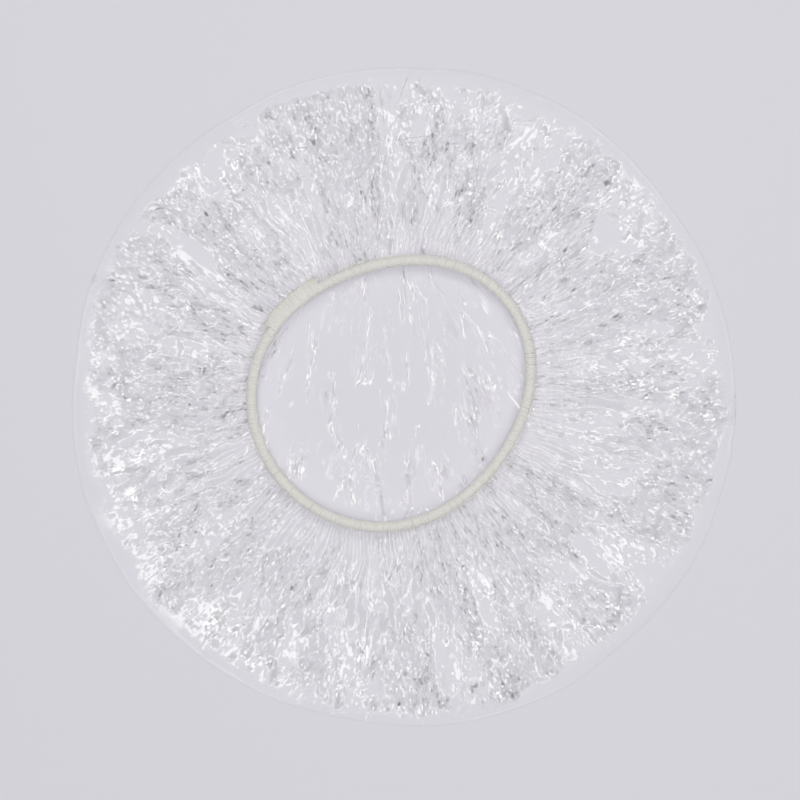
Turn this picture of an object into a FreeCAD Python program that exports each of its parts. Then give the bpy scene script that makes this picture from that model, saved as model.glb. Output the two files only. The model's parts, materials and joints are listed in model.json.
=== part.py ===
# Clear film hair cap laid flat with its opening upwards: one round sheet of thin film whose gathered
# edge is wrapped round a covered elastic loop and overlocked to it.
# Millimetres. +Z is up, the origin is the centre of the cap's outline on the surface it lies on.
import FreeCAD, Part
import math
import os
import Sketcher
from FreeCAD import Vector

os.makedirs("parts", exist_ok=True)
doc = FreeCAD.newDocument("hair_cap")

# ---------------------------------------------------------------- driving dimensions
DIMENSIONS = [
    ("cap_diameter", 290.0, "outside of the rim fold, laid flat"),
    ("fold_radius", 1.6, "outside of the soft fold at the rim"),
    ("film_wall", 0.4, "wall that stands in for the thin film"),
    ("ring_radius", 59.2, "mean radius of the elastic loop"),
    ("ring_oval", 3.75, "how far the loop is pulled oval"),
    ("ring_lobe", 1.3, "how far the loop is pulled three-cornered"),
    ("ring_centre_x", -5.2, "centre of the loop"),
    ("ring_centre_y", 2.4, "centre of the loop"),
    ("ring_height", 4.8, "height of the loop's centreline"),
    ("strand_radius", 0.45, "each rubber strand of the elastic"),
    ("sleeve_wall", 0.4, "yarn cover round the strands"),
    ("thread_radius", 0.2, "sewing thread"),
    ("loop_pitch", 4.0, "spacing of the overlock loops"),
    ("lap_length", 28.0, "overlap where the elastic's ends meet"),
    ("lap_pitch", 2.0, "spacing of the loops over the overlap"),
    ("tail_length", 4.5, "trimmed end of the sewing thread"),
    ("fit_gap", 0.05, "clearance between neighbours in the band"),
    ("band_gap", 0.3, "clearance between the band and the skirt"),
]
OVAL_DIRECTION = math.radians(34.0)
LOBE_DIRECTION = math.radians(38.5)
LAP_SHARE = 0.378
PATH_CORNERS = 16
ARC_SHARE = 0.45
STRAND_COUNT = 3

sheet = doc.addObject("Spreadsheet::Sheet", "Sizes")
size = {}
for row, (alias, value, meaning) in enumerate(DIMENSIONS, start=1):
    sheet.set(f"A{row}", alias)
    sheet.set(f"B{row}", str(value))
    sheet.set(f"C{row}", meaning)
    sheet.setAlias(f"B{row}", alias)
doc.recompute()
for alias, _, _ in DIMENSIONS:
    size[alias] = float(sheet.get(alias))

# ---------------------------------------------------------------- radii of the band, from the inside out
STRAND_OFFSET = (2 * size["strand_radius"] + size["fit_gap"]) / math.sqrt(3)
SLEEVE_BORE = STRAND_OFFSET + size["strand_radius"] + size["fit_gap"]
SLEEVE_RADIUS = SLEEVE_BORE + size["sleeve_wall"]
HEM_BORE = SLEEVE_RADIUS + size["fit_gap"]
HEM_RADIUS = HEM_BORE + size["film_wall"]
LOOP_RADIUS = HEM_RADIUS + size["fit_gap"] + size["thread_radius"]
BAND_RADIUS = LOOP_RADIUS + size["thread_radius"]
LAP_OFFSET = HEM_RADIUS + size["fit_gap"] + SLEEVE_RADIUS
LAP_LOOP_RADIUS = SLEEVE_RADIUS + size["fit_gap"] + size["thread_radius"]

# The same radii as expressions on the sheet, for the features that are bound to it.
STRAND_OFFSET_RULE = "((2 * Sizes.strand_radius + Sizes.fit_gap) / sqrt(3))"
SLEEVE_BORE_RULE = f"({STRAND_OFFSET_RULE} + Sizes.strand_radius + Sizes.fit_gap)"
SLEEVE_RADIUS_RULE = f"({SLEEVE_BORE_RULE} + Sizes.sleeve_wall)"
HEM_BORE_RULE = f"({SLEEVE_RADIUS_RULE} + Sizes.fit_gap)"
HEM_RADIUS_RULE = f"({HEM_BORE_RULE} + Sizes.film_wall)"
FOLD_CENTRE_RULE = "(Sizes.cap_diameter / 2 - Sizes.fold_radius)"


# ---------------------------------------------------------------- the loop's path
def ring_reach(angle):
    """Distance from the loop's centre to its centreline in one direction."""
    oval = size["ring_oval"] * math.cos(2 * (angle - OVAL_DIRECTION))
    lobe = size["ring_lobe"] * math.cos(3 * (angle - LOBE_DIRECTION))
    return size["ring_radius"] + oval + lobe


def ring_point(angle, reach):
    x = size["ring_centre_x"] + reach * math.cos(angle)
    y = size["ring_centre_y"] + reach * math.sin(angle)
    return Vector(x, y, 0)


def corner_arc(before, corner, after):
    """Arc that rounds a corner between two straight runs and touches both."""
    to_before = (before - corner).normalize()
    to_after = (after - corner).normalize()
    turn = math.pi - to_before.getAngle(to_after)
    shorter = min((before - corner).Length, (after - corner).Length)
    cut_back = ARC_SHARE * shorter
    radius = cut_back / math.tan(turn / 2)
    first = corner + to_before * cut_back
    last = corner + to_after * cut_back
    inward = (to_before + to_after).normalize()
    centre = corner + inward * (radius / math.cos(turn / 2))
    middle = centre - inward * radius
    return Part.Arc(first, middle, last)


def rounded_path(corners, closed):
    """Straight runs joined by tangent arcs, through a list of corner points."""
    count = len(corners)
    rounded = range(count) if closed else range(1, count - 1)
    arcs = [corner_arc(corners[i - 1], corners[i], corners[(i + 1) % count]) for i in rounded]
    edges = []
    if not closed:
        edges.append(Part.LineSegment(corners[0], arcs[0].StartPoint))
    for i, arc in enumerate(arcs):
        edges.append(arc)
        if i + 1 < len(arcs):
            edges.append(Part.LineSegment(arc.EndPoint, arcs[i + 1].StartPoint))
    if closed:
        edges.append(Part.LineSegment(arcs[-1].EndPoint, arcs[0].StartPoint))
    else:
        edges.append(Part.LineSegment(arcs[-1].EndPoint, corners[-1]))
    return edges


def ring_path():
    step = 2 * math.pi / PATH_CORNERS
    stretch = 1 / math.cos(step / 2)
    corners = [ring_point(i * step, ring_reach(i * step) * stretch) for i in range(PATH_CORNERS)]
    return rounded_path(corners, closed=True)


def wire_of(curves):
    return Part.Wire([curve.toShape() for curve in curves])


def path_stretch(wire, start, end):
    """Curves of a wire between two distances along it."""
    curves = []
    for edge in wire.OrderedEdges:
        low = max(start, 0.0)
        high = min(end, edge.Length)
        if high > low:
            cuts = [edge.getParameterByLength(share) for share in (low, (low + high) / 2, high)]
            points = [edge.valueAt(cut) for cut in cuts]
            round_edge = isinstance(edge.Curve, Part.Circle)
            curves.append(Part.Arc(*points) if round_edge else Part.LineSegment(points[0], points[2]))
        start -= edge.Length
        end -= edge.Length
    return curves


def lap_outside(beside):
    """The curves beside the loop, moved out by the offset of the overlapping end."""
    moved = []
    for edge in beside.OrderedEdges:
        cuts = [edge.FirstParameter, (edge.FirstParameter + edge.LastParameter) / 2, edge.LastParameter]
        points = [edge.valueAt(cut) + edge.tangentAt(cut).cross(Vector(0, 0, 1)) * LAP_OFFSET for cut in cuts]
        round_edge = isinstance(edge.Curve, Part.Circle)
        moved.append(Part.Arc(*points) if round_edge else Part.LineSegment(points[0], points[2]))
    return moved


class PathFrame:
    """Points and directions along a flat wire at the band's height."""

    def __init__(self, wire):
        self.edges = wire.OrderedEdges
        self.length = wire.Length

    def at(self, distance):
        for edge in self.edges:
            if distance <= edge.Length or edge is self.edges[-1]:
                parameter = edge.getParameterByLength(min(distance, edge.Length))
                point = edge.valueAt(parameter) + Vector(0, 0, size["ring_height"])
                along = edge.tangentAt(parameter)
                outward = along.cross(Vector(0, 0, 1))
                return point, along, outward
            distance -= edge.Length


ring_curves = ring_path()
ring_wire = wire_of(ring_curves)
ring_frame = PathFrame(ring_wire)
lap_start = LAP_SHARE * ring_wire.Length
lap_beside = wire_of(path_stretch(ring_wire, lap_start, lap_start + size["lap_length"]))
lap_curves = lap_outside(lap_beside)
lap_wire = wire_of(lap_curves)


# ---------------------------------------------------------------- document helpers
def new_body(name):
    body = doc.addObject("PartDesign::Body", name)
    body.Label = name
    return body


def new_sketch(body, name, role, height_rule=None):
    plane = next(item for item in body.Origin.OriginFeatures if item.Role == role)
    sketch = body.newObject("Sketcher::SketchObject", name)
    sketch.AttachmentSupport = [(plane, "")]
    sketch.MapMode = "FlatFace"
    if height_rule:
        sketch.setExpression("AttachmentOffset.Base.z", height_rule)
    return sketch


def bind(sketch, constraint, name, rule):
    index = sketch.addConstraint(constraint)
    sketch.renameConstraint(index, name)
    sketch.setExpression(f"Constraints.{name}", rule)


def pin_point(sketch, geometry, end, name, point, rules):
    """Hold one end of a curve at a distance from the sketch's origin, both ways."""
    across = Sketcher.Constraint("DistanceX", -1, 1, geometry, end, point.x)
    bind(sketch, across, name + "_across", rules[0])
    up = Sketcher.Constraint("DistanceY", -1, 1, geometry, end, point.y)
    bind(sketch, up, name + "_up", rules[1])


def revolve(body, sketch, name):
    turned = body.newObject("PartDesign::Revolution", name)
    turned.Profile = sketch
    turned.ReferenceAxis = (sketch, ["V_Axis"])
    turned.Angle = 360.0
    return turned


# ---------------------------------------------------------------- crown and rim
def make_crown_film():
    """Flat disc of film that lies on the surface inside the rim fold."""
    body = new_body("crown_film")
    outline = new_sketch(body, "crown_outline", "XY_Plane")
    reach = size["cap_diameter"] / 2 - size["fold_radius"]
    outline.addGeometry(Part.Circle(Vector(0, 0, 0), Vector(0, 0, 1), reach))
    outline.addConstraint(Sketcher.Constraint("Coincident", 0, 3, -1, 1))
    bind(outline, Sketcher.Constraint("Radius", 0, reach), "crown_reach", FOLD_CENTRE_RULE)
    disc = body.newObject("PartDesign::Pad", "crown_disc")
    disc.Profile = outline
    disc.setExpression("Length", "Sizes.film_wall")
    return body


def make_rim_fold():
    """Soft half-round fold where the film turns back over the crown."""
    body = new_body("rim_fold")
    profile = new_sketch(body, "fold_profile", "XZ_Plane")
    outer = size["fold_radius"]
    inner = outer - size["film_wall"]
    centre = Vector(size["cap_diameter"] / 2 - outer, outer, 0)
    half = math.pi / 2
    normal = Vector(0, 0, 1)
    profile.addGeometry(Part.ArcOfCircle(Part.Circle(centre, normal, outer), -half, half))
    profile.addGeometry(Part.ArcOfCircle(Part.Circle(centre, normal, inner), -half, half))
    for sign in (-1, 1):
        near = centre + Vector(0, sign * inner, 0)
        far = centre + Vector(0, sign * outer, 0)
        profile.addGeometry(Part.LineSegment(near, far))
    for line, end in ((2, 1), (3, 2)):
        profile.addConstraint(Sketcher.Constraint("Coincident", line, 1, 1, end))
        profile.addConstraint(Sketcher.Constraint("Coincident", line, 2, 0, end))
        profile.addConstraint(Sketcher.Constraint("Vertical", line))
    profile.addConstraint(Sketcher.Constraint("Coincident", 0, 3, 1, 3))
    profile.addConstraint(Sketcher.Constraint("Vertical", 0, 3, 2, 1))
    pin_point(profile, 0, 3, "fold_centre", centre, (FOLD_CENTRE_RULE, "Sizes.fold_radius"))
    bind(profile, Sketcher.Constraint("Radius", 0, outer), "fold_outside", "Sizes.fold_radius")
    inside_rule = "Sizes.fold_radius - Sizes.film_wall"
    bind(profile, Sketcher.Constraint("Radius", 1, inner), "fold_inside", inside_rule)
    revolve(body, profile, "fold_turned")
    return body


def make_skirt_film():
    """Gathered film between the rim fold and the band, as a plain shallow cone."""
    body = new_body("skirt_film")
    profile = new_sketch(body, "skirt_profile", "XZ_Plane")
    wall = size["film_wall"]
    rim = size["cap_diameter"] / 2 - size["fold_radius"]
    rim_top = 2 * size["fold_radius"]
    tip = size["ring_radius"] / 2
    slope = (size["ring_height"] - rim_top) / (rim - size["ring_radius"])
    tip_top = rim_top + slope * (rim - tip)
    slope_rule = f"((Sizes.ring_height - 2 * Sizes.fold_radius) / ({FOLD_CENTRE_RULE} - Sizes.ring_radius))"
    tip_rule = "(Sizes.ring_radius / 2)"
    tip_top_rule = f"(2 * Sizes.fold_radius + {slope_rule} * ({FOLD_CENTRE_RULE} - {tip_rule}))"
    corners = [
        (Vector(rim, rim_top - wall, 0), (FOLD_CENTRE_RULE, "2 * Sizes.fold_radius - Sizes.film_wall")),
        (Vector(rim, rim_top, 0), (FOLD_CENTRE_RULE, "2 * Sizes.fold_radius")),
        (Vector(tip, tip_top, 0), (tip_rule, tip_top_rule)),
        (Vector(tip, tip_top - wall, 0), (tip_rule, tip_top_rule + " - Sizes.film_wall")),
    ]
    for i, (point, _) in enumerate(corners):
        profile.addGeometry(Part.LineSegment(point, corners[(i + 1) % 4][0]))
    for i, (point, rules) in enumerate(corners):
        profile.addConstraint(Sketcher.Constraint("Coincident", i, 2, (i + 1) % 4, 1))
        pin_point(profile, i, 1, f"corner_{i}", point, rules)
    revolve(body, profile, "skirt_turned")
    cut_skirt(body, "band_seat", ring_wire.makeOffset2D(BAND_RADIUS + size["band_gap"]))
    lap_reach = LAP_LOOP_RADIUS + size["thread_radius"] + size["band_gap"]
    cut_skirt(body, "lap_seat", lap_wire.makeOffset2D(lap_reach))
    return body


def cut_skirt(body, name, outline):
    """Cut an outline straight through the skirt, so that the band hangs clear in it."""
    doc.recompute()
    before = body.Shape.Volume
    sketch = new_sketch(body, name + "_outline", "XY_Plane")
    for edge in outline.Edges:
        curve = edge.Curve
        if isinstance(curve, Part.Circle):
            sketch.addGeometry(Part.Arc(*[edge.valueAt(p) for p in edge_thirds(edge)]))
        else:
            sketch.addGeometry(Part.LineSegment(edge.Vertexes[0].Point, edge.Vertexes[-1].Point))
    pocket = body.newObject("PartDesign::Pocket", name)
    pocket.Profile = sketch
    pocket.Type = "ThroughAll"
    pocket.Reversed = True
    doc.recompute()
    if body.Shape.Volume >= before:
        raise RuntimeError(f"{name} cuts nothing")


def edge_thirds(edge):
    first, last = edge.ParameterRange
    return first, (first + last) / 2, last


# ---------------------------------------------------------------- tubes of the band
def add_section(body, path, name, radius, rule, across=0.0, up=0.0):
    """Round section square to the start of a path, held off the path by across and up."""
    section = body.newObject("Sketcher::SketchObject", name)
    section.AttachmentSupport = [(path, "Edge1")]
    section.MapMode = "NormalToEdge"
    section.addGeometry(Part.Circle(Vector(across, up, 0), Vector(0, 0, 1), radius))
    section.addConstraint(Sketcher.Constraint("DistanceX", -1, 1, 0, 3, across))
    section.addConstraint(Sketcher.Constraint("DistanceY", -1, 1, 0, 3, up))
    bind(section, Sketcher.Constraint("Radius", 0, radius), "reach", rule)
    return section


def add_path(body, name, curves):
    path = new_sketch(body, name, "XY_Plane", "Sizes.ring_height")
    for curve in curves:
        path.addGeometry(curve)
    doc.recompute()
    return path


def make_cord(name, curves, radius, rule, across=0.0, up=0.0):
    """Solid round cord along a flat path at the band's height."""
    body = new_body(name)
    path = add_path(body, name + "_path", curves)
    cord = body.newObject("PartDesign::AdditivePipe", name + "_cord")
    cord.Profile = add_section(body, path, name + "_section", radius, rule, across, up)
    cord.Spine = path
    return body


def make_tube(name, curves, outer, outer_rule, bore, bore_rule):
    """Hollow tube along a flat path at the band's height."""
    body = make_cord(name, curves, outer, outer_rule)
    path = doc.getObject(name + "_path")
    hollow = body.newObject("PartDesign::SubtractivePipe", name + "_hollow")
    hollow.Profile = add_section(body, path, name + "_bore", bore, bore_rule)
    hollow.Spine = path
    return body


# ---------------------------------------------------------------- sewing
def add_group(name, solids):
    """Separate solids of one kind, kept together as one sub-part."""
    group = doc.addObject("Part::Feature", name)
    group.Label = name
    group.Shape = Part.makeCompound(solids)
    group.Placement = FreeCAD.Placement()
    return group


def loop_spacing():
    """First loop, spacing and count of the overlock loops on the stretch that has no overlap."""
    free = ring_frame.length - size["lap_length"]
    count = int(free / size["loop_pitch"])
    spacing = free / count
    first = lap_start + size["lap_length"] + spacing / 2
    return first, spacing, count


def make_looper_thread():
    """Overlock loops round the hem, each a closed ring of thread."""
    first, spacing, count = loop_spacing()
    loops = []
    for i in range(count):
        point, along, _ = ring_frame.at((first + i * spacing) % ring_frame.length)
        loops.append(Part.makeTorus(LOOP_RADIUS, size["thread_radius"], point, along))
    return add_group("looper_thread", loops)


def make_needle_thread():
    """Straight stitches between the overlock loops, along the hem's outer side."""
    first, spacing, count = loop_spacing()
    room = spacing - 2 * size["thread_radius"] - 2 * size["fit_gap"]
    stitches = []
    for i in range(count - 1):
        middle = (first + (i + 0.5) * spacing) % ring_frame.length
        point, along, outward = ring_frame.at(middle)
        start = point + outward * LOOP_RADIUS - along * (room / 2)
        stitches.append(Part.makeCylinder(size["thread_radius"], room, start, along))
    return add_group("needle_thread", stitches)


def belt_loop(point, along, outward):
    """Thread drawn round the hem and the elastic end beside it, like a belt round two pulleys."""
    lean = math.asin((LOOP_RADIUS - LAP_LOOP_RADIUS) / LAP_OFFSET)
    up = Vector(0, 0, 1)

    def on_circle(centre_offset, radius, angle):
        return point + outward * (centre_offset + radius * math.cos(angle)) + up * (radius * math.sin(angle))

    tangent = math.pi / 2 - lean
    hem_top = on_circle(0, LOOP_RADIUS, tangent)
    hem_side = on_circle(0, LOOP_RADIUS, math.pi)
    hem_bottom = on_circle(0, LOOP_RADIUS, -tangent)
    lap_bottom = on_circle(LAP_OFFSET, LAP_LOOP_RADIUS, -tangent)
    lap_side = on_circle(LAP_OFFSET, LAP_LOOP_RADIUS, 0)
    lap_top = on_circle(LAP_OFFSET, LAP_LOOP_RADIUS, tangent)
    wire = wire_of([
        Part.Arc(hem_top, hem_side, hem_bottom),
        Part.LineSegment(hem_bottom, lap_bottom),
        Part.Arc(lap_bottom, lap_side, lap_top),
        Part.LineSegment(lap_top, hem_top),
    ])
    start_direction = wire.OrderedEdges[0].tangentAt(wire.OrderedEdges[0].FirstParameter)
    section = Part.Wire(Part.makeCircle(size["thread_radius"], hem_top, start_direction))
    return wire.makePipeShell([section], True, True)


def make_lap_thread():
    """Closer loops that bind the overlapping elastic end to the hem."""
    count = int(size["lap_length"] / size["lap_pitch"])
    margin = (size["lap_length"] - (count - 1) * size["lap_pitch"]) / 2
    distances = [lap_start + margin + i * size["lap_pitch"] for i in range(count)]
    return add_group("lap_thread", [belt_loop(*ring_frame.at(distance)) for distance in distances])


def make_thread_tail():
    """Trimmed end of the thread chain, pointing into the opening from the end of the overlap."""
    point, _, outward = ring_frame.at(lap_start + size["lap_length"] + size["thread_radius"] * 2)
    first = point - outward * LOOP_RADIUS
    bend = first + Vector(0.1, -0.5, 0.0) * size["tail_length"]
    last = bend + Vector(0.2, -0.4, -0.3) * size["tail_length"]
    wire = wire_of(rounded_path([first, bend, last], closed=False))
    section = Part.Wire(Part.makeCircle(size["thread_radius"], first, bend - first))
    return add_group("thread_tail", [wire.makePipeShell([section], True, True)])


def make_strand(name, curves, i):
    """One rubber strand of the elastic's core."""
    turn = 2 * math.pi * i / STRAND_COUNT
    across = STRAND_OFFSET * math.cos(turn)
    up = STRAND_OFFSET * math.sin(turn)
    return make_cord(name, curves, size["strand_radius"], "Sizes.strand_radius", across, up)


def make_sleeve(name, curves):
    """Yarn cover of the elastic."""
    return make_tube(name, curves, SLEEVE_RADIUS, SLEEVE_RADIUS_RULE, SLEEVE_BORE, SLEEVE_BORE_RULE)


parts = [make_crown_film(), make_rim_fold(), make_skirt_film()]
parts.append(make_tube("hem_film", ring_curves, HEM_RADIUS, HEM_RADIUS_RULE, HEM_BORE, HEM_BORE_RULE))
parts.append(make_sleeve("elastic_sleeve", ring_curves))
parts.append(make_sleeve("lap_sleeve", lap_curves))
for number in range(STRAND_COUNT):
    parts.append(make_strand(f"elastic_strand_{number + 1}", ring_curves, number))
    parts.append(make_strand(f"lap_strand_{number + 1}", lap_curves, number))
parts.append(make_looper_thread())
parts.append(make_needle_thread())
parts.append(make_lap_thread())
parts.append(make_thread_tail())
doc.recompute()

# ---------------------------------------------------------------- checks and files
for item in doc.Objects:
    if "Invalid" in item.State or "Error" in item.State:
        raise RuntimeError(f"{item.Label} did not recompute")
for part in parts:
    if part.Shape.isNull() or not part.Shape.isValid():
        raise RuntimeError(f"{part.Label} has no sound shape")
    part.Shape.exportStep(f"parts/{part.Label}.step")
    print(part.Label, len(part.Shape.Solids), round(part.Shape.Volume, 2))
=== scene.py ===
# Clear film hair cap, laid flat with its gathered opening upwards.
# Metres, in the CAD model's frame: +Z up, origin under the middle of the cap's outline.
import json
import math

import bpy
import numpy as np
from mathutils import Matrix, Vector

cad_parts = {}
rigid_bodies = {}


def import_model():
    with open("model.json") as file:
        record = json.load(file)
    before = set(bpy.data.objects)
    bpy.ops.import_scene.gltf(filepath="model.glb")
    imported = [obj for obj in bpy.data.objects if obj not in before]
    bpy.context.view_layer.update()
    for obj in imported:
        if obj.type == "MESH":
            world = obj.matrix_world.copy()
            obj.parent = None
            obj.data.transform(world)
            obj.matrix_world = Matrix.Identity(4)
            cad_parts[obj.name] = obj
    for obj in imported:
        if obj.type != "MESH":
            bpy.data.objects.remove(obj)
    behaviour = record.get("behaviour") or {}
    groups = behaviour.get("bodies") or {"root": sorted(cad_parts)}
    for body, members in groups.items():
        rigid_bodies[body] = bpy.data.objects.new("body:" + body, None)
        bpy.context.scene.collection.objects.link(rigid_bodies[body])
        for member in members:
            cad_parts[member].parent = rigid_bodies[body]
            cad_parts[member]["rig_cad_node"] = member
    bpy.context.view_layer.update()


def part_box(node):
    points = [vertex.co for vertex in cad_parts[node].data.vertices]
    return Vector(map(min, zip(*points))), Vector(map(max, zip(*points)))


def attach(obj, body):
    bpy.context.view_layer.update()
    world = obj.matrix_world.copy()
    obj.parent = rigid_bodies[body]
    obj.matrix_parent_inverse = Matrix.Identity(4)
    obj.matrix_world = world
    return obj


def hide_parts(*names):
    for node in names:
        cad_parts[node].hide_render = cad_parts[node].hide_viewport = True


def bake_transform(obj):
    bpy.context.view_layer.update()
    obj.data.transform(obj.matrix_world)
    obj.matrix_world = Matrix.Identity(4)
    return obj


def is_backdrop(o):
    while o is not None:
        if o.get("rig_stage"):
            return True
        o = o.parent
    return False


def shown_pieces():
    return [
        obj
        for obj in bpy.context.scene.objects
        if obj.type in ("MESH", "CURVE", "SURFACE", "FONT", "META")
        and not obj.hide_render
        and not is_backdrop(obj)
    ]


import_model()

MM = 0.001

# ---------------------------------------------------------------- sizes, from the frame
rim_low, rim_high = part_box("rim_fold")
crown_low, crown_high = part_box("crown_film")
hem_low, hem_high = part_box("hem_film")
thread_low, thread_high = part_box("looper_thread")

FOLD_RADIUS = (rim_high[2] - rim_low[2]) / 2
CROWN_RADIUS = (crown_high[0] - crown_low[0]) / 2
RING_HEIGHT = (hem_low[2] + hem_high[2]) / 2
HEM_RADIUS = (hem_high[2] - hem_low[2]) / 2
BAND_RADIUS = (thread_high[2] - thread_low[2]) / 2

# The loop's path, as the CAD model draws it: a circle pulled a little oval and three-cornered.
RING_CENTRE = Vector((-5.2, 2.4, 0.0)) * MM
RING_RADIUS = 59.2 * MM
RING_OVAL = 3.75 * MM
RING_LOBE = 1.3 * MM
OVAL_DIRECTION = math.radians(34.0)
LOBE_DIRECTION = math.radians(38.5)


def ring_reach(angle):
    oval = RING_OVAL * np.cos(2 * (angle - OVAL_DIRECTION))
    lobe = RING_LOBE * np.cos(3 * (angle - LOBE_DIRECTION))
    return RING_RADIUS + oval + lobe


# ---------------------------------------------------------------- camera, floor and light
scene = bpy.context.scene
scene.view_settings.view_transform = "Standard"
scene.cycles.transparent_max_bounces = 32
scene.cycles.sample_clamp_indirect = 4.0

FRAME_WIDTH = 350.4 * MM
CAMERA_HEIGHT = 1.5
CAMERA_OVER = (-1.5 * MM, -1.3 * MM)
camera_data = bpy.data.cameras.new("camera")
camera_data.sensor_width = 36.0
camera_data.lens = camera_data.sensor_width * CAMERA_HEIGHT / FRAME_WIDTH
camera = bpy.data.objects.new("camera", camera_data)
camera.location = (*CAMERA_OVER, CAMERA_HEIGHT)
scene.collection.objects.link(camera)
scene.camera = camera


def add_softbox(name, place, size, radiance, matt=True, gloss=True):
    """Square soft light that looks at the cap, given by how bright its face is. It can be kept off the
    matt surfaces, or out of the reflections."""
    light = bpy.data.lights.new(name, "AREA")
    light.color = LAMP_TINT
    light.shape = "SQUARE"
    light.size = size
    light.energy = radiance * math.pi * size * size
    box = bpy.data.objects.new(name, light)
    box.location = place
    box.rotation_euler = Vector(place).to_track_quat("Z", "Y").to_euler()
    box.visible_diffuse = matt
    box.visible_glossy = gloss
    scene.collection.objects.link(box)


LAMP_TINT = (1.0, 0.985, 0.94)
ROOM_TINT = (0.96, 0.965, 1.0)
LAMP_RADIANCE = 2.9
ROOM_LEVELS = [(0.55, 0.05), (0.90, 0.36), (0.985, 0.85)]  # height on the unit ball as a share, brightness
BACKDROP_LEVEL = 0.62
FILL_RADIANCE = 17.2
FLOOR_TINT = (0.825, 0.815, 0.882, 1.0)
add_softbox("key_light", (-0.62, -0.62, 1.15), 0.70, LAMP_RADIANCE, matt=False)
add_softbox("left_light", (-0.84, 0.16, 1.2), 0.45, LAMP_RADIANCE, matt=False)
add_softbox("top_light", (-0.24, 0.90, 1.15), 0.50, LAMP_RADIANCE)
add_softbox("far_light", (0.56, 0.64, 1.2), 0.42, LAMP_RADIANCE)
add_softbox("side_light", (0.86, 0.02, 1.2), 0.45, LAMP_RADIANCE, matt=False)
add_softbox("low_light", (0.32, -0.84, 1.2), 0.45, LAMP_RADIANCE)
add_softbox("fill_light", (-0.05, -0.05, 1.9), 0.40, FILL_RADIANCE, gloss=False)


def make_room():
    """Room round the cap that lights it from overhead and is dim near the horizon, with a pale backdrop
    where the room itself is seen."""
    world = bpy.data.worlds.new("room")
    world.use_nodes = True
    nodes, links = world.node_tree.nodes, world.node_tree.links
    direction = nodes.new("ShaderNodeTexCoord")
    parts = nodes.new("ShaderNodeSeparateXYZ")
    upward = nodes.new("ShaderNodeMapRange")
    upward.inputs["From Min"].default_value = -1.0
    level = nodes.new("ShaderNodeValToRGB")
    stops = level.color_ramp.elements
    while len(stops) < len(ROOM_LEVELS):
        stops.new(0.5)
    for stop, (place, value) in zip(stops, ROOM_LEVELS):
        stop.position = place
        stop.color = (value, value, value, 1.0)
    links.new(direction.outputs["Generated"], parts.inputs["Vector"])
    links.new(parts.outputs["Z"], upward.inputs["Value"])
    links.new(upward.outputs["Result"], level.inputs["Fac"])
    path = nodes.new("ShaderNodeLightPath")
    strength = nodes.new("ShaderNodeMix")
    strength.inputs["B"].default_value = BACKDROP_LEVEL
    links.new(path.outputs["Is Camera Ray"], strength.inputs["Factor"])
    links.new(level.outputs["Color"], strength.inputs["A"])
    links.new(strength.outputs["Result"], nodes["Background"].inputs["Strength"])
    nodes["Background"].inputs["Color"].default_value = (*ROOM_TINT, 1.0)
    scene.world = world


make_room()


# ---------------------------------------------------------------- material helpers
def new_material(name):
    material = bpy.data.materials.new(name)
    material.use_nodes = True
    return material, material.node_tree.nodes, material.node_tree.links


def add_node(nodes, kind, **values):
    """Adds a node and sets its properties or its inputs by name."""
    node = nodes.new(kind)
    for key, value in values.items():
        if key in node.bl_rna.properties:
            setattr(node, key, value)
        else:
            node.inputs[key.replace("_", " ")].default_value = value
    return node


def make_floor():
    material, nodes, links = new_material("pale_floor")
    surface = nodes["Principled BSDF"]
    surface.inputs["Base Color"].default_value = FLOOR_TINT
    surface.inputs["Roughness"].default_value = 0.6
    surface.inputs["Specular IOR Level"].default_value = 0.2
    bpy.ops.mesh.primitive_plane_add(size=4.0, location=(0, 0, -0.02 * MM))
    floor = bpy.context.object
    floor.name = "floor"
    floor.data.materials.append(material)
    floor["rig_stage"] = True


make_floor()


# ---------------------------------------------------------------- film: smooth shape
COLUMNS = 720
HEM_START = HEM_RADIUS - 0.05 * MM
CROWN_BANDS = [  # from the rim inwards: columns, inner radius as a share, rows
    (COLUMNS, 0.66, 30),
    (COLUMNS // 2, 0.32, 32),
    (COLUMNS // 4, 0.155, 15),
    (COLUMNS // 8, 0.07, 8),
    (COLUMNS // 16, 0.02, 5),
]
FOLD_ROWS = 9
SKIRT_ROWS = 76
# Creases, coarse to fine: how many, length, width as a share of it, slope, spread of their direction.
SKIRT_CREASES = [
    (260, (30 * MM, 70 * MM), (0.12, 0.3), (0.08, 0.22), 0.5),
    (1100, (10 * MM, 30 * MM), (0.1, 0.35), (0.1, 0.32), 0.7),
    (2600, (4 * MM, 11 * MM), (0.2, 0.5), (0.06, 0.24), 0.9),
]
FOLD_CREASES = (900, (5 * MM, 16 * MM), (0.15, 0.4), (0.03, 0.12), 0.8)
LONG_CROWN_CREASES = (90, (50 * MM, 110 * MM), (0.04, 0.12), (0.08, 0.2), 1.2)
CROWN_CREASES = [
    (420, (14 * MM, 45 * MM), (0.06, 0.2), (0.08, 0.25), 1.2),
    (700, (4 * MM, 12 * MM), (0.15, 0.4), (0.06, 0.2), 1.5),
]
SKIRT_REACH = (52 * MM, 146 * MM)
FOLD_REACH = (138 * MM, 148 * MM)
CROWN_REACH = (0.0, 140 * MM)
CROWN_FOLD_MIDDLE = (10 * MM, 10 * MM)
DOME = 1.7 * MM
SWELL = 1.1 * MM
LOWEST_SKIRT = 1.5 * MM
HIGHEST_CROWN = 1.1 * MM
GRAIN_DRUM = 75 * MM  # the fine crinkle is wound round a drum this big, or fanned out from one point
FAN_POINT = (-8 * MM, 112 * MM)
FAN_RADIUS = 90 * MM
rng = np.random.default_rng(20)


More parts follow.
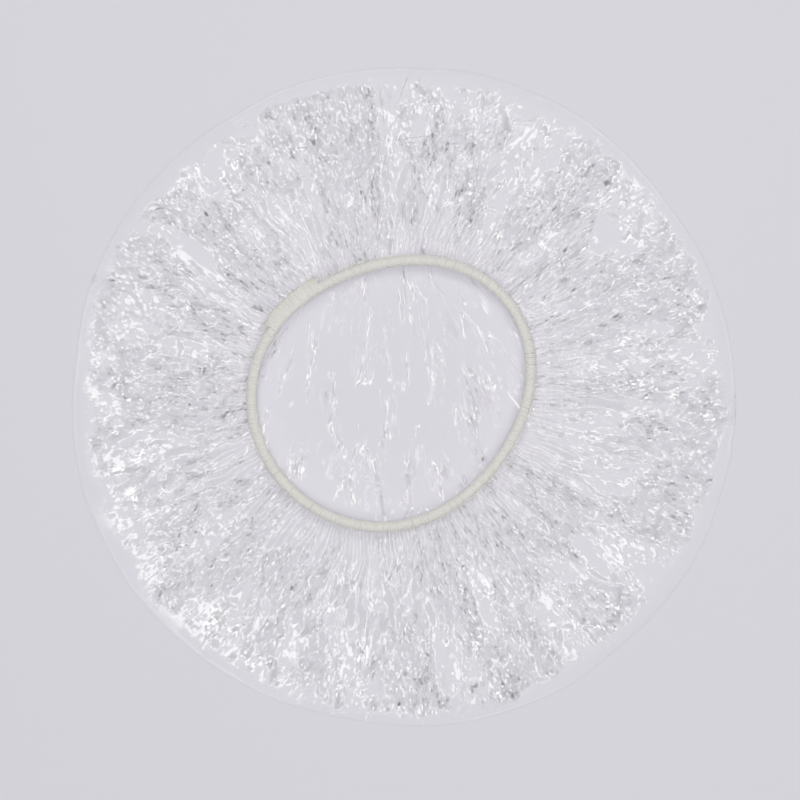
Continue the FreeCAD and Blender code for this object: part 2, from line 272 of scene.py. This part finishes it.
def outline_wobble(angle):
    """The rim isn't a true circle: slow waves of a millimetre or so."""
    waves = [(2, 0.6, 0.5), (3, 0.5, 2.1), (5, 0.45, 0.2), (8, 0.35, 4.0), (13, 0.25, 1.0), (21, 0.15, 3.0)]
    return sum(size * MM * np.cos(count * angle + phase) for count, size, phase in waves)


def ring_of(columns):
    return (np.arange(columns) + 0.5) * 2 * math.pi / columns


class FilmMesh:
    """Rings of points joined by quads, with a fan of triangles where a ring has half the points."""

    def __init__(self):
        self.points = []
        self.faces = []
        self.rows = []
        self.count = 0

    def add_ring(self, points):
        first = self.count
        self.points.append(points)
        self.count += len(points)
        if self.rows:
            self.join(self.rows[-1], (first, len(points)))
        self.rows.append((first, len(points)))

    def join(self, old, new):
        (a, many), (b, few) = old, new
        if many == few:
            for i in range(few):
                j = (i + 1) % few
                self.faces.append((a + i, a + j, b + j, b + i))
            return
        if many > few:
            for i in range(few):
                j = (i + 1) % few
                left, mid, right = a + 2 * i, a + 2 * i + 1, a + (2 * i + 2) % many
                self.faces += [(left, mid, b + i), (mid, b + j, b + i), (mid, right, b + j)]
            return
        for i in range(many):
            j = (i + 1) % many
            left, mid, right = b + 2 * i, b + 2 * i + 1, b + (2 * i + 2) % few
            self.faces += [(a + i, mid, left), (a + i, a + j, mid), (a + j, right, mid)]

    def close(self, point):
        first, few = self.rows[-1]
        self.points.append(np.array([point]))
        for i in range(few):
            self.faces.append((first + i, first + (i + 1) % few, self.count))
        self.count += 1


def rim_point(angle, bulge):
    """Point on the soft fold: bulge runs from -90 degrees under the rim to 90 degrees on top of it."""
    middle = CROWN_RADIUS + outline_wobble(angle)
    reach = middle + FOLD_RADIUS * np.cos(bulge)
    height = FOLD_RADIUS + (FOLD_RADIUS - 0.1 * MM) * np.sin(bulge)
    return np.stack([reach * np.cos(angle), reach * np.sin(angle), np.full_like(angle, height)], 1)


def ring_line(angle, outward=0.0):
    reach = ring_reach(angle) + outward
    x = RING_CENTRE.x + reach * np.cos(angle)
    y = RING_CENTRE.y + reach * np.sin(angle)
    return np.stack([x, y, np.full_like(angle, RING_HEIGHT)], 1)


def smooth_film():
    """The sheet without its creases, from the hem over the rim to the middle of the crown."""
    film = FilmMesh()
    angle = ring_of(COLUMNS)
    inner, outer = ring_line(angle, HEM_START), rim_point(angle, math.pi / 2)
    for share in np.linspace(0, 1, SKIRT_ROWS):
        film.add_ring(inner * (1 - share) + outer * share)
    for bulge in np.linspace(math.pi / 2, -math.pi / 2, FOLD_ROWS + 2)[1:]:
        film.add_ring(rim_point(angle, bulge))
    start = 1.0
    for columns, end, rows in CROWN_BANDS:
        angle = ring_of(columns)
        reach = CROWN_RADIUS + outline_wobble(angle)
        for share in np.linspace(start, end, rows + 1)[1:]:
            flat = np.full(columns, 0.1 * MM)
            film.add_ring(np.stack([share * reach * np.cos(angle), share * reach * np.sin(angle), flat], 1))
        start = end
    film.close((0.0, 0.0, 0.1 * MM))
    return film


film_mesh = smooth_film()
film_points = np.concatenate(film_mesh.points)
skirt_count = SKIRT_ROWS * COLUMNS
fold_count = skirt_count + (FOLD_ROWS + 1) * COLUMNS


# ---------------------------------------------------------------- film: creases
def smoothstep(low, high, value):
    t = np.clip((value - low) / (high - low), 0, 1)
    return t * t * (3 - 2 * t)


def add_creases(height, place, reach, kind, middle=(0.0, 0.0)):
    """Adds sharp folds of the sheet: each lifts or lowers a narrow diamond with a ridge down its middle."""
    count, length, width, slope, spread = kind
    for _ in range(count):
        far = math.sqrt(rng.uniform(reach[0] ** 2, reach[1] ** 2))
        around = rng.uniform(0, 2 * math.pi)
        centre = np.array([middle[0] + far * math.cos(around), middle[1] + far * math.sin(around)])
        lean = around + rng.normal(0, spread)
        half_length = rng.uniform(*length) / 2
        half_width = half_length * rng.uniform(*width)
        rise = rng.uniform(*slope) * rng.choice((-1, 1))
        bend = rng.normal(0, 0.15) / half_length
        near = np.nonzero(np.abs(place - centre).max(1) < half_length * 1.05)[0]
        if not len(near):
            continue
        offset = place[near] - centre
        along = offset[:, 0] * math.cos(lean) + offset[:, 1] * math.sin(lean)
        across = -offset[:, 0] * math.sin(lean) + offset[:, 1] * math.cos(lean) + bend * along**2
        taper = np.clip(1 - np.abs(along) / half_length, 0, 1) ** 0.7
        height[near] += rise * np.maximum(half_width * taper - np.abs(across), 0)


def value_noise(place, cell, seed):
    """Smooth noise from -1 to 1 on a grid of the given cell size."""
    grid = np.random.default_rng(seed).uniform(-1, 1, (64, 64))
    scaled = place / cell
    whole = np.floor(scaled).astype(int)
    part = scaled - whole
    part = part * part * (3 - 2 * part)
    x, y = whole[:, 0] % 64, whole[:, 1] % 64
    x2, y2 = (x + 1) % 64, (y + 1) % 64
    low = grid[x, y] * (1 - part[:, 0]) + grid[x2, y] * part[:, 0]
    high = grid[x, y2] * (1 - part[:, 0]) + grid[x2, y2] * part[:, 0]
    return low * (1 - part[:, 1]) + high * part[:, 1]


def triangle_wave(phase):
    return 4 * np.abs(phase - np.floor(phase + 0.5)) - 1


def skirt_pleats(share, angle, flat):
    """Gathers: fine and deep at the band, running together into fewer, wider ones towards the rim."""
    drift = 0.02 * value_noise(flat, 14 * MM, 3) + 0.012 * value_noise(flat, 6 * MM, 4)
    turn = (angle + drift) / (2 * math.pi)
    strength = 0.75 + 0.5 * value_noise(flat, 9 * MM, 5)
    fine = 1.15 * MM * (1 - smoothstep(0.10, 0.34, share))
    middle = 0.95 * MM * smoothstep(0.02, 0.18, share) * (1 - smoothstep(0.35, 0.75, share))
    wide = 1.1 * MM * smoothstep(0.15, 0.4, share) * (1 - smoothstep(0.72, 1.0, share))
    height = fine * triangle_wave(120 * turn) * strength
    height += middle * triangle_wave(67 * turn + 0.3) * strength
    height += wide * triangle_wave(31 * turn + 0.1) * strength
    return height


def crease_film():
    """How far each point of the smooth film moves when the sheet is gathered and crinkled."""
    flat = film_points[:, :2]
    move = np.zeros_like(film_points)
    skirt = slice(0, skirt_count)
    share = np.repeat(np.linspace(0, 1, SKIRT_ROWS), COLUMNS)
    angle = np.tile(ring_of(COLUMNS), SKIRT_ROWS)
    place = flat[skirt]
    height = np.zeros(skirt_count)
    for kind in SKIRT_CREASES:
        add_creases(height, place, SKIRT_REACH, kind)
    calm = 0.35 + 0.65 * smoothstep(-0.5, 0.5, value_noise(place, 22 * MM, 7))
    height *= calm * (1 - 0.9 * smoothstep(0.82, 0.97, share)) * smoothstep(0.0, 0.1, share)
    height += skirt_pleats(share, angle, place)
    height += DOME * np.sin(math.pi * share)
    height += SWELL * value_noise(place, 26 * MM, 8) * np.sin(math.pi * share)
    move[skirt, 2] = np.maximum(height, LOWEST_SKIRT - film_points[skirt, 2])

    fold = slice(skirt_count, fold_count)
    outward = film_points[fold, :2] / np.linalg.norm(film_points[fold, :2], axis=1)[:, None]
    dent = np.zeros(fold_count - skirt_count)
    add_creases(dent, flat[fold], FOLD_REACH, FOLD_CREASES)
    move[fold, :2] = outward * dent[:, None]

    crown = slice(fold_count, None)
    place = flat[crown]
    height = np.zeros(len(place))
    add_creases(height, place, CROWN_REACH, LONG_CROWN_CREASES, CROWN_FOLD_MIDDLE)
    for kind in CROWN_CREASES:
        add_creases(height, place, CROWN_REACH, kind)
    height *= 1 - 0.8 * smoothstep(0.93, 1.0, np.linalg.norm(place, axis=1) / CROWN_RADIUS)
    height = np.maximum(height, -0.05 * MM) + 0.7 * MM * (1 + value_noise(place, 24 * MM, 9)) / 2
    move[crown, 2] = np.minimum(height, HIGHEST_CROWN)
    return move


def film_grain():
    """Where the fine crinkle is looked up: round a drum on the gathered side, so that it runs along the
    pleats and widens with them, and fanned out from one point beyond the opening on the crown."""
    grain = film_points.copy()
    around = np.arctan2(film_points[:, 1], film_points[:, 0])
    reach = np.linalg.norm(film_points[:, :2], axis=1)
    gathered = slice(0, fold_count)
    grain[gathered, 0] = GRAIN_DRUM * np.cos(around[gathered])
    grain[gathered, 1] = GRAIN_DRUM * np.sin(around[gathered])
    grain[gathered, 2] = reach[gathered] / 3
    offset = film_points[fold_count:, :2] - FAN_POINT
    grain[fold_count:, 0] = FAN_RADIUS * np.arctan2(offset[:, 1], offset[:, 0])
    grain[fold_count:, 1] = np.linalg.norm(offset, axis=1) / 4
    grain[fold_count:, 2] = 0.5
    return grain


def film_shares():
    """How much of the fine shards and of the long ridges each point gets."""
    shards = np.full(len(film_points), 1.0)
    ridges = np.full(len(film_points), 0.8)
    reach = np.linalg.norm(film_points[:, :2], axis=1)
    calm_rim = 1 - 0.85 * smoothstep(136 * MM, 143 * MM, reach)
    from_ring = film_points[:, :2] - np.array(RING_CENTRE.xy)
    around = np.arctan2(from_ring[:, 1], from_ring[:, 0])
    beyond = np.linalg.norm(from_ring, axis=1) - ring_reach(around)
    within = 1 - smoothstep(0.0, 10 * MM, beyond[fold_count:])
    shards[fold_count:] = 0.45
    ridges[fold_count:] = 0.55 + 0.35 * within
    return shards * calm_rim, ridges * calm_rim


def build_film():
    mesh = bpy.data.meshes.new("film_sheet")
    mesh.from_pydata(film_points.tolist(), [], film_mesh.faces)
    mesh.update()
    crease = mesh.attributes.new("crease", "FLOAT_VECTOR", "POINT")
    crease.data.foreach_set("vector", crease_film().astype(np.float32).ravel())
    grain = mesh.attributes.new("grain", "FLOAT_VECTOR", "POINT")
    grain.data.foreach_set("vector", film_grain().astype(np.float32).ravel())
    for name, values in zip(("shard_share", "ridge_share"), film_shares()):
        share = mesh.attributes.new(name, "FLOAT", "POINT")
        share.data.foreach_set("value", values.astype(np.float32))
    film = bpy.data.objects.new("film_sheet", mesh)
    scene.collection.objects.link(film)
    return film


def crease_modifier(film):
    """Live modifier that moves each point of the smooth sheet by its own crease."""
    group = bpy.data.node_groups.new("crinkle", "GeometryNodeTree")
    group.interface.new_socket(name="Geometry", in_out="INPUT", socket_type="NodeSocketGeometry")
    group.interface.new_socket(name="Geometry", in_out="OUTPUT", socket_type="NodeSocketGeometry")
    start = group.nodes.new("NodeGroupInput")
    end = group.nodes.new("NodeGroupOutput")
    crease = group.nodes.new("GeometryNodeInputNamedAttribute")
    crease.data_type = "FLOAT_VECTOR"
    crease.inputs["Name"].default_value = "crease"
    mover = group.nodes.new("GeometryNodeSetPosition")
    group.links.new(start.outputs["Geometry"], mover.inputs["Geometry"])
    group.links.new(crease.outputs["Attribute"], mover.inputs["Offset"])
    group.links.new(mover.outputs["Geometry"], end.inputs["Geometry"])
    modifier = film.modifiers.new("crinkle", "NODES")
    modifier.node_group = group


FILM_TINT = (0.985, 0.985, 0.98, 1.0)
FILM_MIRROR = 0.85
FLAT_SHINE = (0.01, 0.12)  # how much calm film mirrors, from the rim to the crinkled skirt
STEEP_SHINE = 0.8
STEEP_POWER = 3.0
FOLD_SHINE = 0.16  # how much more a sharp ridge mirrors
RIDGE_HEIGHT = 0.28 * MM
RARITY = 0.24  # how far a full share lowers the threshold of the patches


def pattern_group(name, result, result_kind):
    """Empty shader group with a place, a scale and a strength going in and one result coming out."""
    group = bpy.data.node_groups.new(name, "ShaderNodeTree")
    group.interface.new_socket(name="Vector", in_out="INPUT", socket_type="NodeSocketVector")
    group.interface.new_socket(name="Scale", in_out="INPUT", socket_type="NodeSocketFloat")
    group.interface.new_socket(name="Strength", in_out="INPUT", socket_type="NodeSocketFloat")
    group.interface.new_socket(name=result, in_out="OUTPUT", socket_type=result_kind)
    return group, group.nodes.new("NodeGroupInput"), group.nodes.new("NodeGroupOutput")


def add_warp(group, start, share, reach):
    """Bends the lookup place by slow noise, so that cells and lines come out uneven."""
    nodes, links = group.nodes, group.links
    slow = add_node(nodes, "ShaderNodeMath", operation="MULTIPLY")
    slow.inputs[1].default_value = share
    far = add_node(nodes, "ShaderNodeMath", operation="DIVIDE")
    far.inputs[0].default_value = reach
    warp = add_node(nodes, "ShaderNodeTexNoise", Detail=1.0)
    bent = add_node(nodes, "ShaderNodeVectorMath", operation="MULTIPLY_ADD")
    links.new(start.outputs["Scale"], slow.inputs[0])
    links.new(start.outputs["Scale"], far.inputs[1])
    links.new(start.outputs["Vector"], warp.inputs["Vector"])
    links.new(slow.outputs["Value"], warp.inputs["Scale"])
    links.new(warp.outputs["Color"], bent.inputs[0])
    links.new(far.outputs["Value"], bent.inputs[1])
    links.new(start.outputs["Vector"], bent.inputs[2])
    return bent


def add_lean(group, colour, strength, end):
    """Turns a colour into a lean either way from upright, times the strength."""
    nodes, links = group.nodes, group.links
    centred = add_node(nodes, "ShaderNodeVectorMath", operation="SUBTRACT")
    centred.inputs[1].default_value = (0.5, 0.5, 0.5)
    lean = add_node(nodes, "ShaderNodeVectorMath", operation="SCALE")
    links.new(colour, centred.inputs[0])
    links.new(centred.outputs["Vector"], lean.inputs[0])
    links.new(strength, lean.inputs["Scale"])
    links.new(lean.outputs["Vector"], end.inputs["Lean"])


def shard_group():
    """Small flat shards: each cell of the pattern leans its own way."""
    group, start, end = pattern_group("shards", "Lean", "NodeSocketVector")
    bent = add_warp(group, start, 0.6, 0.9)
    cells = add_node(group.nodes, "ShaderNodeTexVoronoi", feature="F1")
    group.links.new(bent.outputs["Vector"], cells.inputs["Vector"])
    group.links.new(start.outputs["Scale"], cells.inputs["Scale"])
    add_lean(group, cells.outputs["Color"], start.outputs["Strength"], end)
    return group


def ridge_group():
    """Relief of long thin ridges along the borders of large cells."""
    group, start, end = pattern_group("ridges", "Height", "NodeSocketFloat")
    nodes, links = group.nodes, group.links
    bent = add_warp(group, start, 0.5, 1.1)
    cells = add_node(nodes, "ShaderNodeTexVoronoi", feature="DISTANCE_TO_EDGE")
    line = add_node(nodes, "ShaderNodeMapRange", interpolation_type="SMOOTHSTEP")
    line.inputs["From Min"].default_value = 0.0
    line.inputs["From Max"].default_value = 0.1
    line.inputs["To Min"].default_value = 1.0
    line.inputs["To Max"].default_value = 0.0
    raised = add_node(nodes, "ShaderNodeMath", operation="MULTIPLY")
    links.new(bent.outputs["Vector"], cells.inputs["Vector"])
    links.new(start.outputs["Scale"], cells.inputs["Scale"])
    links.new(cells.outputs["Distance"], line.inputs["Value"])
    links.new(line.outputs["Result"], raised.inputs[0])
    links.new(start.outputs["Strength"], raised.inputs[1])
    links.new(raised.outputs["Value"], end.inputs["Height"])
    return group


def streak_group():
    """Smooth curved wrinkles."""
    group, start, end = pattern_group("streaks", "Lean", "NodeSocketVector")
    waves = add_node(group.nodes, "ShaderNodeTexNoise", Detail=1.0)
    group.links.new(start.outputs["Vector"], waves.inputs["Vector"])
    group.links.new(start.outputs["Scale"], waves.inputs["Scale"])
    add_lean(group, waves.outputs["Color"], start.outputs["Strength"], end)
    return group


def add_patches(nodes, links, vector, share, scale, low, high):
    """Soft mask that is one in patches and nought between them; a small share leaves few patches."""
    patches = add_node(nodes, "ShaderNodeTexNoise", Scale=scale, Detail=2.0, Roughness=0.6)
    rarer = add_node(nodes, "ShaderNodeMath", operation="MULTIPLY_ADD")
    rarer.inputs[1].default_value = RARITY
    mask = add_node(nodes, "ShaderNodeMapRange", interpolation_type="SMOOTHSTEP")
    mask.inputs["From Min"].default_value = low + RARITY
    mask.inputs["From Max"].default_value = high + RARITY
    links.new(vector, patches.inputs["Vector"])
    links.new(share, rarer.inputs[0])
    links.new(patches.outputs["Fac"], rarer.inputs[2])
    links.new(rarer.outputs["Value"], mask.inputs["Value"])
    return mask.outputs["Result"]


def make_film_material():
    """Clear film: it mirrors little where it lies flat and more where it is steep or folded, and its fine
    crinkle is long ridges, then small shards and smooth streaks in patches."""
    material, nodes, links = new_material("clear_film")
    surface = nodes["Principled BSDF"]
    surface.inputs["Base Color"].default_value = FILM_TINT
    surface.inputs["Metallic"].default_value = FILM_MIRROR
    surface.inputs["Roughness"].default_value = 0.13
    edge = add_node(nodes, "ShaderNodeLayerWeight", Blend=0.5)
    steep = add_node(nodes, "ShaderNodeMath", operation="POWER")
    steep.inputs[1].default_value = STEEP_POWER
    shine = add_node(nodes, "ShaderNodeMapRange")
    shine.inputs["To Max"].default_value = STEEP_SHINE
    haze = add_node(nodes, "ShaderNodeMapRange")
    haze.inputs["To Min"].default_value, haze.inputs["To Max"].default_value = FLAT_SHINE
    links.new(edge.outputs["Facing"], steep.inputs[0])
    links.new(steep.outputs["Value"], shine.inputs["Value"])
    links.new(shine.outputs["Result"], surface.inputs["Alpha"])

    grain = add_node(nodes, "ShaderNodeAttribute", attribute_name="grain")
    shard_share = add_node(nodes, "ShaderNodeAttribute", attribute_name="shard_share")
    ridge_share = add_node(nodes, "ShaderNodeAttribute", attribute_name="ridge_share")
    links.new(shard_share.outputs["Fac"], haze.inputs["Value"])
    place = grain.outputs["Vector"]
    shard_mask = add_patches(nodes, links, place, shard_share.outputs["Fac"], 75.0, 0.42, 0.52)
    ridge_mask = add_patches(nodes, links, place, ridge_share.outputs["Fac"], 150.0, 0.42, 0.54)
    ridges = ridge_group()
    normal = None
    for scale, height in ((130.0, RIDGE_HEIGHT), (330.0, 0.4 * RIDGE_HEIGHT)):
        relief = nodes.new("ShaderNodeGroup")
        relief.node_tree = ridges
        relief.inputs["Scale"].default_value = scale
        bump = add_node(nodes, "ShaderNodeBump", Strength=1.0, Distance=height)
        links.new(place, relief.inputs["Vector"])
        links.new(ridge_mask, relief.inputs["Strength"])
        links.new(relief.outputs["Height"], bump.inputs["Height"])
        if normal:
            links.new(normal, bump.inputs["Normal"])
        else:
            folded = add_node(nodes, "ShaderNodeMath", operation="MULTIPLY_ADD")
            folded.inputs[1].default_value = FOLD_SHINE
            links.new(relief.outputs["Height"], folded.inputs[0])
            links.new(haze.outputs["Result"], folded.inputs[2])
            links.new(folded.outputs["Value"], shine.inputs["To Min"])
        normal = bump.outputs["Normal"]
    shards, streaks = shard_group(), streak_group()
    layers = [  # pattern, scale, tilt, where
        (shards, 780.0, 1.0, shard_mask),
        (shards, 1600.0, 1.0, shard_mask),
        (streaks, 450.0, 1.6, ridge_mask),
        (streaks, 1000.0, 0.5, shard_share.outputs["Fac"]),
    ]
    for group, scale, tilt, mask in layers:
        layer = nodes.new("ShaderNodeGroup")
        layer.node_tree = group
        layer.inputs["Scale"].default_value = scale
        strength = add_node(nodes, "ShaderNodeMath", operation="MULTIPLY")
        strength.inputs[1].default_value = tilt
        leaning = add_node(nodes, "ShaderNodeVectorMath", operation="ADD")
        links.new(mask, strength.inputs[0])
        links.new(place, layer.inputs["Vector"])
        links.new(strength.outputs["Value"], layer.inputs["Strength"])
        links.new(normal, leaning.inputs[0])
        links.new(layer.outputs["Lean"], leaning.inputs[1])
        normal = leaning.outputs["Vector"]
    straight = add_node(nodes, "ShaderNodeVectorMath", operation="NORMALIZE")
    links.new(normal, straight.inputs[0])
    links.new(straight.outputs["Vector"], surface.inputs["Normal"])
    links.new(straight.outputs["Vector"], edge.inputs["Normal"])
    return material


film = build_film()
film.data.materials.append(make_film_material())
for polygon in film.data.polygons:
    polygon.use_smooth = True
film.visible_shadow = False
film.visible_diffuse = False
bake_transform(film)
crease_modifier(film)
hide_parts("crown_film", "rim_fold", "skirt_film")

# ---------------------------------------------------------------- band: thread and yarn
WRAP_PITCH = 1.0 * MM
WRAP_THICK = 0.22 * MM
WRAP_RADIUS = BAND_RADIUS - WRAP_THICK
WRAP_STRETCH = 2.7  # how much wider along the band a wrap is than it is thick
LAP_SHARE = 0.35  # the lap starts this far round the loop, as a share of its length
LAP_LENGTH = 28 * MM
LAP_OFFSET = 3.2 * MM
LAP_SHRINK = 0.81


def make_thread_material(name, dark, light, twist):
    """Matte yarn: cream in slow drifts, with fine fibres raised along and across it."""
    material, nodes, links = new_material(name)
    surface = nodes["Principled BSDF"]
    surface.inputs["Roughness"].default_value = 0.86
    surface.inputs["Specular IOR Level"].default_value = 0.25
    surface.inputs["Sheen Weight"].default_value = 0.85
    surface.inputs["Sheen Roughness"].default_value = 0.5
    place = add_node(nodes, "ShaderNodeTexCoord")
    drift = add_node(nodes, "ShaderNodeTexNoise", Scale=260.0, Detail=3.0, Roughness=0.65)
    tone = add_node(nodes, "ShaderNodeMix", data_type="RGBA")
    tone.inputs["A"].default_value = (*dark, 1.0)
    tone.inputs["B"].default_value = (*light, 1.0)
    fibres = add_node(nodes, "ShaderNodeTexNoise", Scale=twist, Detail=2.0, Roughness=0.7)
    relief = add_node(nodes, "ShaderNodeBump", Strength=0.6, Distance=0.08 * MM)
    links.new(place.outputs["Object"], drift.inputs["Vector"])
    links.new(place.outputs["Object"], fibres.inputs["Vector"])
    links.new(drift.outputs["Fac"], tone.inputs["Factor"])
    links.new(tone.outputs["Result"], surface.inputs["Base Color"])
    links.new(fibres.outputs["Fac"], relief.inputs["Height"])
    links.new(relief.outputs["Normal"], surface.inputs["Normal"])
    return material


def make_hem_material():
    """The same clear film where it is drawn tight round the elastic, with fine wrinkles."""
    material, nodes, links = new_material("hem_clear_film")
    surface = nodes["Principled BSDF"]
    surface.inputs["Base Color"].default_value = FILM_TINT
    surface.inputs["Metallic"].default_value = FILM_MIRROR
    surface.inputs["Roughness"].default_value = 0.2
    surface.inputs["Alpha"].default_value = 0.2
    place = add_node(nodes, "ShaderNodeTexCoord")
    wrinkles = add_node(nodes, "ShaderNodeTexNoise", Scale=1100.0, Detail=2.0)
    relief = add_node(nodes, "ShaderNodeBump", Strength=0.8, Distance=0.15 * MM)
    links.new(place.outputs["Object"], wrinkles.inputs["Vector"])
    links.new(wrinkles.outputs["Fac"], relief.inputs["Height"])
    links.new(relief.outputs["Normal"], surface.inputs["Normal"])
    return material


def paint(node, material):
    """Gives every mesh carried over from one CAD node its material, in the object's slots."""
    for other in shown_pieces():
        if other.get("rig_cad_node") == node:
            for material_slot in other.material_slots:
                material_slot.link = "OBJECT"
                material_slot.material = material


def ring_places(start, end, pitch):
    """Evenly spaced places along the loop: point, direction along it and direction outward."""
    turn = np.linspace(0, 2 * math.pi, 3601)
    line = ring_line(turn)
    steps = np.linalg.norm(np.diff(line, axis=0), axis=1)
    length = np.concatenate([[0.0], np.cumsum(steps)])
    count = int((end - start) * length[-1] / pitch)
    places = []
    for i in range(count):
        distance = (start + (end - start) * (i + 0.5) / count) % 1 * length[-1]
        angle = np.interp(distance, length, turn)
        point, ahead = ring_line(np.array([angle, angle + 0.001]))
        along = Vector(ahead - point).normalized()
        places.append((Vector(point), along, along.cross(Vector((0, 0, 1)))))
    return places, length[-1]


def select_none():
    for other in list(bpy.context.selected_objects):
        other.select_set(False)


def make_wrap(name, lapped):
    """One loop of thread round the band, flat like bulky yarn; a lapped one reaches round both cords."""
    select_none()
    bpy.ops.mesh.primitive_torus_add(
        major_segments=16, minor_segments=6, major_radius=WRAP_RADIUS, minor_radius=WRAP_THICK
    )
    wrap = bpy.context.object
    wrap.name = name
    bpy.ops.object.mode_set(mode="EDIT")
    if lapped:
        bpy.ops.mesh.select_mode(type="VERT")
        bpy.ops.mesh.select_all(action="DESELECT")
        bpy.ops.object.mode_set(mode="OBJECT")
        for vertex in wrap.data.vertices:
            vertex.select = vertex.co.x > 0.01 * MM
        bpy.ops.object.mode_set(mode="EDIT")
        bpy.ops.transform.resize(value=(LAP_SHRINK, LAP_SHRINK, 1.0))
        bpy.ops.transform.translate(value=(LAP_OFFSET, 0.0, 0.0))
    bpy.ops.mesh.select_all(action="SELECT")
    bpy.ops.transform.resize(value=(1.0, 1.0, WRAP_STRETCH))
    bpy.ops.object.mode_set(mode="OBJECT")
    bpy.ops.object.shade_smooth()
    return wrap


def lay_wraps(wrap, places, slant, wobble, taper=0):
    """Copies one loop along the band, each with its own mesh, and joins the copies into one piece.
    The last few at each end can be drawn in towards the band's inner side."""
    copies = []
    for i, (point, along, outward) in enumerate(places):
        from_end = min(i, len(places) - 1 - i)
        width = 1 - 0.2 * (1 - from_end / taper) if from_end < taper else 1.0
        copy = wrap.copy()
        copy.data = wrap.data.copy()
        scene.collection.objects.link(copy)
        frame_matrix = Matrix((outward, Vector((0, 0, 1)), along)).transposed().to_4x4()
        lean = Matrix.Rotation(math.radians(slant + rng.normal(0, wobble)), 4, "X")
        grow = Matrix.Scale(1 + rng.uniform(-0.015, 0.02), 4)
        inner_side = Matrix.Translation((-BAND_RADIUS, 0, 0))
        drawn_in = inner_side @ Matrix.Diagonal((width, 1, 1, 1)) @ inner_side.inverted()
        copy.data.transform(Matrix.Translation(point) @ frame_matrix @ lean @ grow @ drawn_in)
        copies.append(copy)
    select_none()
    for copy in copies:
        copy.select_set(True)
    bpy.context.view_layer.objects.active = copies[0]
    bpy.ops.object.join()
    piece = bpy.context.object
    piece.name = wrap.name + "s"
    bpy.data.objects.remove(wrap)
    return piece


thread = make_thread_material("sewing_thread", (0.86, 0.845, 0.805), (0.94, 0.925, 0.885), 2600.0)
yarn = make_thread_material("cover_yarn", (0.74, 0.72, 0.63), (0.82, 0.80, 0.72), 1700.0)
rubber = make_thread_material("rubber_strand", (0.66, 0.60, 0.47), (0.72, 0.66, 0.53), 700.0)

hem_film = make_hem_material()
for node, material in (
    ("hem_film", hem_film),
    ("elastic_sleeve", yarn),
    ("lap_sleeve", yarn),
    ("needle_thread", thread),
    ("thread_tail", thread),
    *((f"elastic_strand_{i}", rubber) for i in (1, 2, 3)),
    *((f"lap_strand_{i}", rubber) for i in (1, 2, 3)),
):
    paint(node, material)

_, ring_length = ring_places(0.0, 1.0, 1.0)
lap_end = LAP_SHARE + LAP_LENGTH / ring_length
free_places, _ = ring_places(lap_end, LAP_SHARE + 1.0, WRAP_PITCH)
lap_places, _ = ring_places(LAP_SHARE, lap_end, WRAP_PITCH)
looper_wraps = lay_wraps(make_wrap("looper_wrap", False), free_places, slant=7.0, wobble=1.2)
lap_wraps = lay_wraps(make_wrap("lap_wrap", True), lap_places, slant=4.0, wobble=0.8, taper=3)
for piece, node in ((looper_wraps, "looper_thread"), (lap_wraps, "lap_thread")):
    piece.data.materials.clear()
    piece.data.materials.append(thread)
    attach(piece, "band")
    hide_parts(node)
